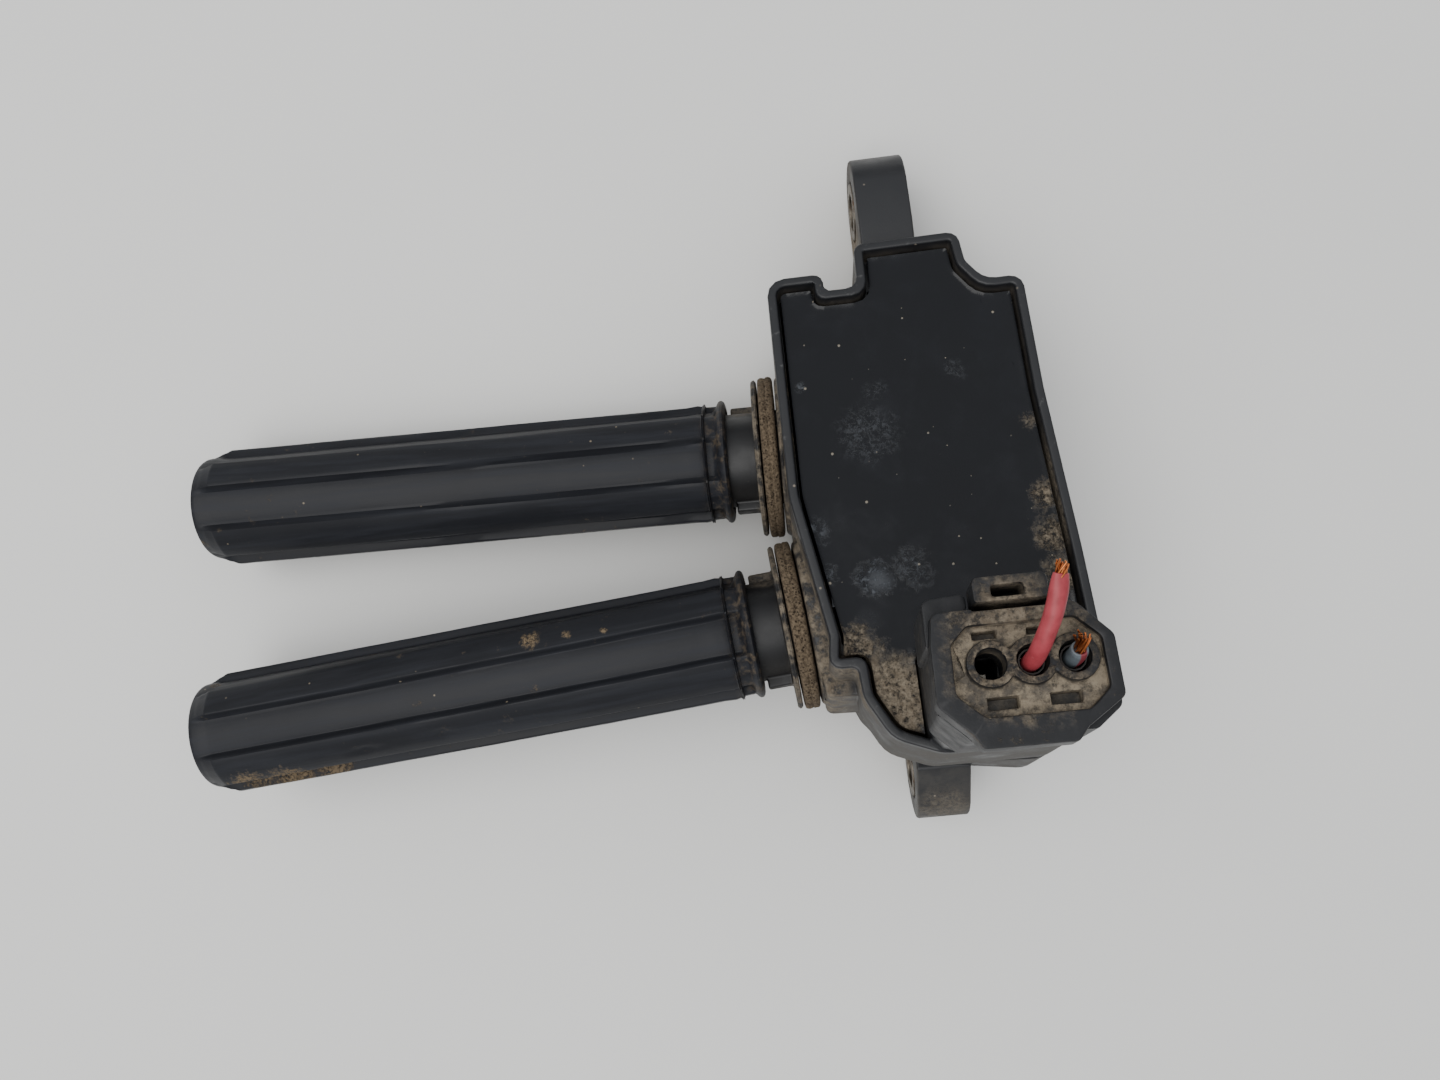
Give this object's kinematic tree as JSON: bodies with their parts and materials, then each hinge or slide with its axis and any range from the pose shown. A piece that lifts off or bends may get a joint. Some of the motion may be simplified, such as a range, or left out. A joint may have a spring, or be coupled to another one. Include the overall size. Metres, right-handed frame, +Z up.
{
  "type": "ignition coil",
  "caption": "Twin-tower coil-on-plug ignition coil: potted black case with two bolt ears, ribbed rubber boots on splayed towers, and a mated harness plug with cut wire stubs.",
  "frame": {"origin": "centre of the footprint on the bench surface the coil lies on, potted face up and rolled 18 degrees about the bolt axis", "axes": "+X along the bolts and towers, from the spark-plug ends of the boots towards the case; +Z up from the bench; +Y completes the right-handed frame, towards the ear away from the connector"},
  "size_m": [0.1474, 0.119, 0.0805],
  "materials": {
    "case_plastic": "satin glass-filled black moulding with pale dust",
    "potting": "glossy black epoxy with scuffs and specks",
    "bushing_steel": "plated steel, dull and dusty",
    "seal_foam": "closed-cell foam, brown with road dust",
    "core_steel": "stacked laminations",
    "magnet": "sintered, grey",
    "bobbin_plastic": "moulded",
    "copper_wire": "enamelled or bare copper",
    "tinned_metal": "tinned",
    "spring_steel": "drawn wire",
    "boot_rubber": "satin black silicone rubber, worn and lightly dusty",
    "plug_plastic": "black moulding with tan dust in the recesses",
    "seal_rubber": "soft silicone",
    "red_insulation": "faded red wire insulation",
    "grey_insulation": "grey wire insulation with a dark red stripe"
  },
  "bodies": {
    "root": {"foam_seal_1": "seal_foam", "hv_terminal_1": "tinned_metal", "foam_seal_2": "seal_foam", "hv_terminal_2": "tinned_metal", "coil_case": "case_plastic", "potting_resin": "potting", "ear_bushing_1": "bushing_steel", "ear_bushing_2": "bushing_steel", "core_bar_1": "core_steel", "bias_magnet_1": "magnet", "core_frame_1": "core_steel", "primary_bobbin_1": "bobbin_plastic", "primary_winding_1": "copper_wire", "secondary_bobbin_1": "bobbin_plastic", "secondary_winding_1": "copper_wire", "core_bar_2": "core_steel", "bias_magnet_2": "magnet", "core_frame_2": "core_steel", "primary_bobbin_2": "bobbin_plastic", "primary_winding_2": "copper_wire", "secondary_bobbin_2": "bobbin_plastic", "secondary_winding_2": "copper_wire", "connector_pin_1": "tinned_metal", "connector_pin_2": "tinned_metal", "connector_pin_3": "tinned_metal"},
    "boot_1": {"boot_1": "boot_rubber", "contact_spring_1": "spring_steel"},
    "boot_2": {"boot_2": "boot_rubber", "contact_spring_2": "spring_steel"},
    "contact_1": {"contact_cup_1": "tinned_metal"},
    "contact_2": {"contact_cup_2": "tinned_metal"},
    "plug": {"plug_housing": "plug_plastic", "plug_ring_seal": "seal_rubber", "red_wire": "red_insulation", "grey_wire": "grey_insulation", "red_wire_seal": "seal_rubber", "grey_wire_seal": "seal_rubber", "red_wire_terminal": "tinned_metal", "grey_wire_terminal": "tinned_metal", "red_wire_strands": "copper_wire", "grey_wire_strands": "copper_wire"},
    "latch": {"latch_lever": "plug_plastic"}
  },
  "joints": [
    {"name": "boot_1_pull", "type": "slide", "parent": "root", "child": "boot_1", "axis": [-0.9976, 0.0149, -0.0676], "range_m": [0, 0.04]},
    {"name": "boot_2_pull", "type": "slide", "parent": "root", "child": "boot_2", "axis": [-0.9954, -0.0895, -0.0334], "range_m": [0, 0.04]},
    {"name": "contact_1_press", "type": "slide", "parent": "boot_1", "child": "contact_1", "axis": [0.9976, -0.0149, 0.0676], "range_m": [0, 0.004], "stiffness_N_per_m": 500, "deforming": ["contact_spring_1"]},
    {"name": "contact_2_press", "type": "slide", "parent": "boot_2", "child": "contact_2", "axis": [0.9954, 0.0895, 0.0334], "range_m": [0, 0.004], "stiffness_N_per_m": 500, "deforming": ["contact_spring_2"]},
    {"name": "plug_pull", "type": "slide", "parent": "root", "child": "plug", "axis": [-0.0597, 0.3103, 0.9487], "range_m": [0, 0.024]},
    {"name": "latch_press", "type": "hinge", "parent": "plug", "child": "latch", "pos_m": [0.05502, -0.01689, 0.06276], "axis": [0.998, 0, 0.0628], "range_deg": [0, 5], "stiffness_Nm_per_rad": 0.6}
  ]
}
